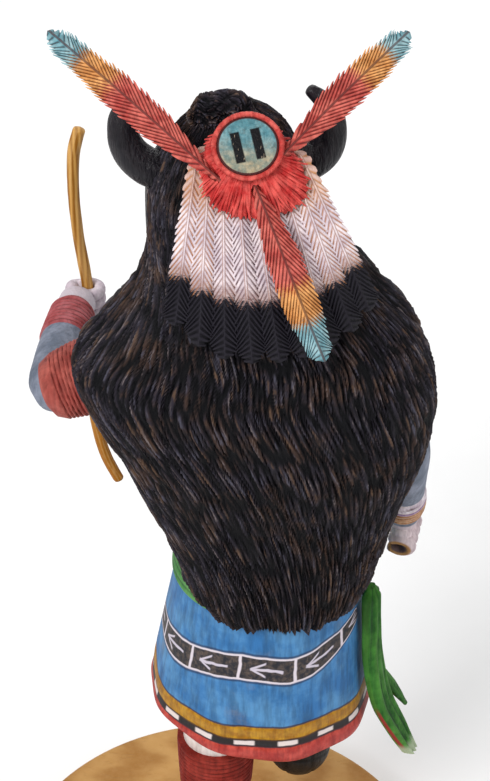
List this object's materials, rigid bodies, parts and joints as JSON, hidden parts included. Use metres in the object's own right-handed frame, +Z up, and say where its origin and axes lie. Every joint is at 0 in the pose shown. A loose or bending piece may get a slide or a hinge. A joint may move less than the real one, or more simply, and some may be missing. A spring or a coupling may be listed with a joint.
{
  "type": "carved dancer figure",
  "caption": "Carved and painted wooden dancer figure with horns, a long shaggy mane, a feather fan, a bow, a kilt and a round base, for display on a shelf",
  "frame": {"origin": "centre of the round base's underside", "axes": "+Z up; +Y the way the figure faces, so the mane faces -Y; +X to the figure's right hand"},
  "size_m": [0.143, 0.143, 0.3286],
  "materials": {
    "base": "smooth oiled pale wood",
    "figure": "carved wood painted in several matt colours: dark brown-black mane, grey-blue body, blue kilt, turquoise mask",
    "horn_left": "satin black paint on wood",
    "horn_right": "satin black paint on wood",
    "feather_fan": "carved wood painted cream with ochre barbs and black tips",
    "red_tuft": "carved wood strands painted red",
    "rosette": "wood disc painted turquoise with a dark red rim and two dark bars",
    "feather_left": "carved wood painted red, ochre and turquoise towards the tip",
    "feather_right": "carved wood painted red, ochre and turquoise towards the tip",
    "feather_down": "carved wood painted red, orange and pale blue towards the tip",
    "bow": "yellow-tan stained wood stave",
    "turtle_shell": "dark brown-black paint on wood",
    "sash": "carved wood strip painted green with a red edge"
  },
  "bodies": {
    "root": {"base": "base", "figure": "figure", "horn_left": "horn_left", "horn_right": "horn_right", "feather_fan": "feather_fan", "red_tuft": "red_tuft", "rosette": "rosette", "feather_left": "feather_left", "feather_right": "feather_right", "feather_down": "feather_down", "bow": "bow", "turtle_shell": "turtle_shell", "sash": "sash"}
  },
  "joints": []
}
